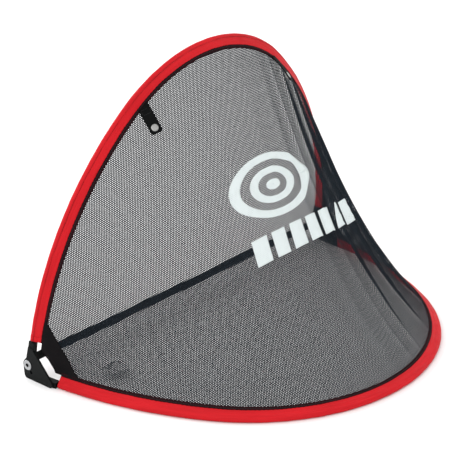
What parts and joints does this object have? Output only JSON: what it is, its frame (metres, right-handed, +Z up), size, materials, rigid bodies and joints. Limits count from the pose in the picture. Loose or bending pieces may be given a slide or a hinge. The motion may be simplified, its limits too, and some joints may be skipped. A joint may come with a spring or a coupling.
{
  "type": "golf chipping net",
  "caption": "Folding golf chipping net: two hinged half-oval bows in fabric sleeves with a catch net, a floor net and a webbing strap between the hinges.",
  "frame": {"origin": "on the ground, under the middle of the open net's box", "axes": "+Z up, -Y out of the mouth towards the player, +X to the player's right along the hinge axis"},
  "size_m": [0.7474, 0.4792, 0.4894],
  "materials": {
    "rod": "black glass-fibre rod",
    "sleeve": "red woven polyester, satin",
    "binding": "black woven tape",
    "net": "black knitted mesh with open holes",
    "webbing": "black woven webbing",
    "patch": "black coated cloth",
    "hinge": "black moulded nylon, fine grain",
    "rivet": "plated steel",
    "snap": "nickel-plated",
    "label": "blank satin label"
  },
  "bodies": {
    "base_frame": {"lower_bow_rod": "rod", "lower_sleeve": "sleeve", "lower_binding": "binding", "catch_net": "net", "floor_net": "net", "hinge_strap": "webbing", "care_label": "label", "corner_patch_right": "patch", "lower_hinge_plate_right": "hinge", "pivot_rivet_right": "rivet", "pivot_washer_right": "rivet", "lower_snap_stud_right": "snap", "corner_patch_left": "patch", "lower_hinge_plate_left": "hinge", "pivot_rivet_left": "rivet", "pivot_washer_left": "rivet", "lower_snap_stud_left": "snap"},
    "upper_frame": {"upper_bow_rod": "rod", "upper_sleeve": "sleeve", "upper_binding": "binding", "upper_hinge_arm_right": "hinge", "upper_hinge_arm_left": "hinge"},
    "closure_tab_right_body": {"closure_tab_right": "webbing", "snap_cap_right": "snap", "snap_socket_right": "snap"},
    "closure_tab_left_body": {"closure_tab_left": "webbing", "snap_cap_left": "snap", "snap_socket_left": "snap"}
  },
  "joints": [
    {"name": "fold", "type": "hinge", "parent": "base_frame", "child": "upper_frame", "pos_m": [0, -0.22837, 0.024], "axis": [1, 0, 0], "range_deg": [-84, 0], "deforming": ["catch_net", "floor_net", "corner_patch_right", "corner_patch_left", "lower_sleeve", "upper_sleeve", "lower_binding", "upper_binding"]},
    {"name": "tab_swing_right", "type": "hinge", "parent": "upper_frame", "child": "closure_tab_right_body", "pos_m": [0.16184, -0.16936, 0.41919], "axis": [-0.8032, 0.0623, 0.5925], "range_deg": [0, 56]},
    {"name": "tab_swing_left", "type": "hinge", "parent": "upper_frame", "child": "closure_tab_left_body", "pos_m": [-0.16184, -0.16936, 0.41919], "axis": [-0.8032, -0.0623, -0.5925], "range_deg": [0, 56]}
  ],
  "couplings": [
    {"joint": "tab_swing_right", "follows": "fold", "ratio": -0.6643},
    {"joint": "tab_swing_left", "follows": "fold", "ratio": -0.6643}
  ]
}
